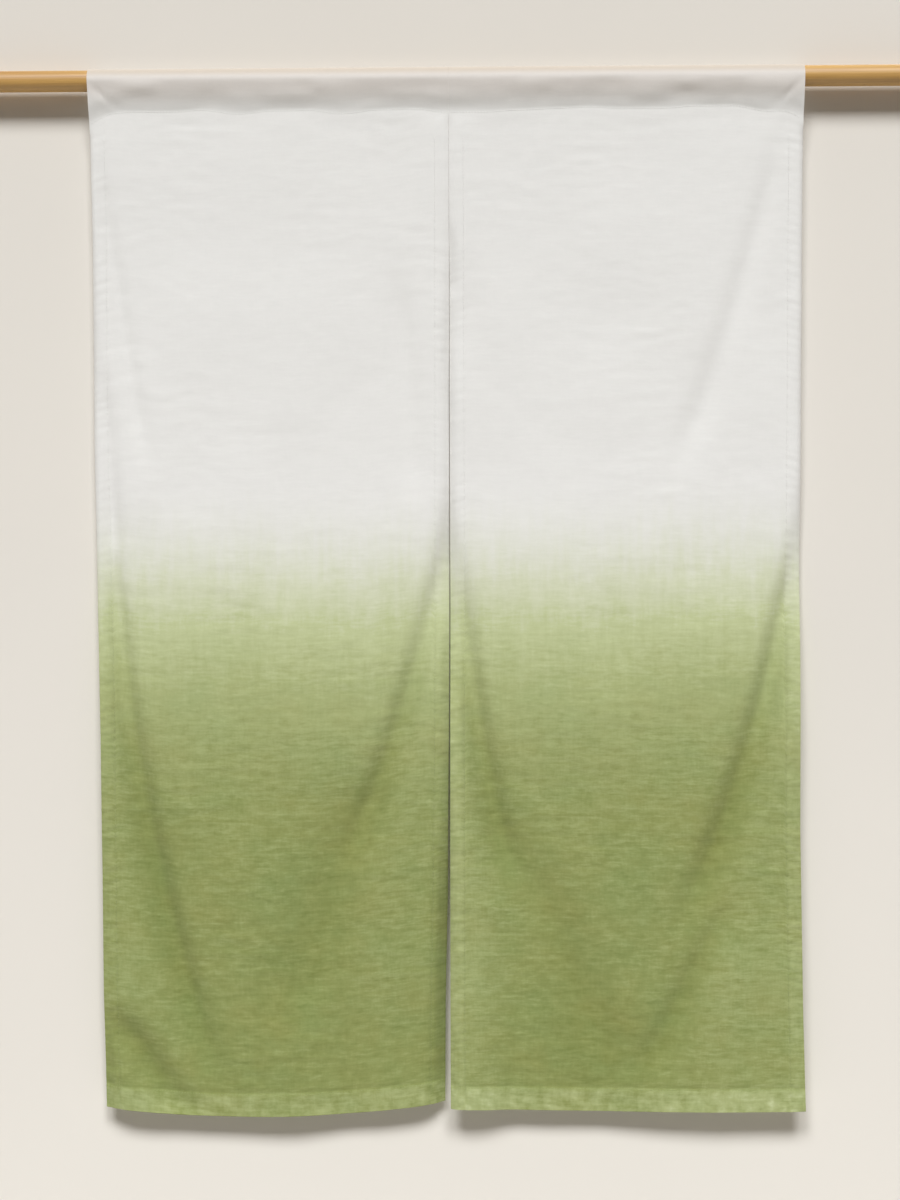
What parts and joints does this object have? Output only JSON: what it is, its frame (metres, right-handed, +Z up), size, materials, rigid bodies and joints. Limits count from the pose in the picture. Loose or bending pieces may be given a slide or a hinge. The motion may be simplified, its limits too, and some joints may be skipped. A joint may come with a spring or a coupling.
{
  "type": "two-panel noren curtain on a wooden rod",
  "caption": "Doorway curtain of dip-dyed linen, bare cloth fading to green, its panels parted by a slit and hung by a sewn sleeve on a round wooden rod.",
  "frame": {"origin": "middle of the rod's length on its axis, above the seam between the panels", "axes": "+Z up, +X along the rod to the viewer's right, the front of the cloth faces -Y"},
  "size_m": [1.15, 0.0286, 1.2465],
  "materials": {
    "dyed_linen": "slubby plain weave, bare off-white above, fading to leaf green below",
    "rod_wood": "smooth satin, straight pale grain"
  },
  "bodies": {
    "root": {"rod": "rod_wood", "panel_left": "dyed_linen", "panel_right": "dyed_linen"}
  },
  "joints": []
}
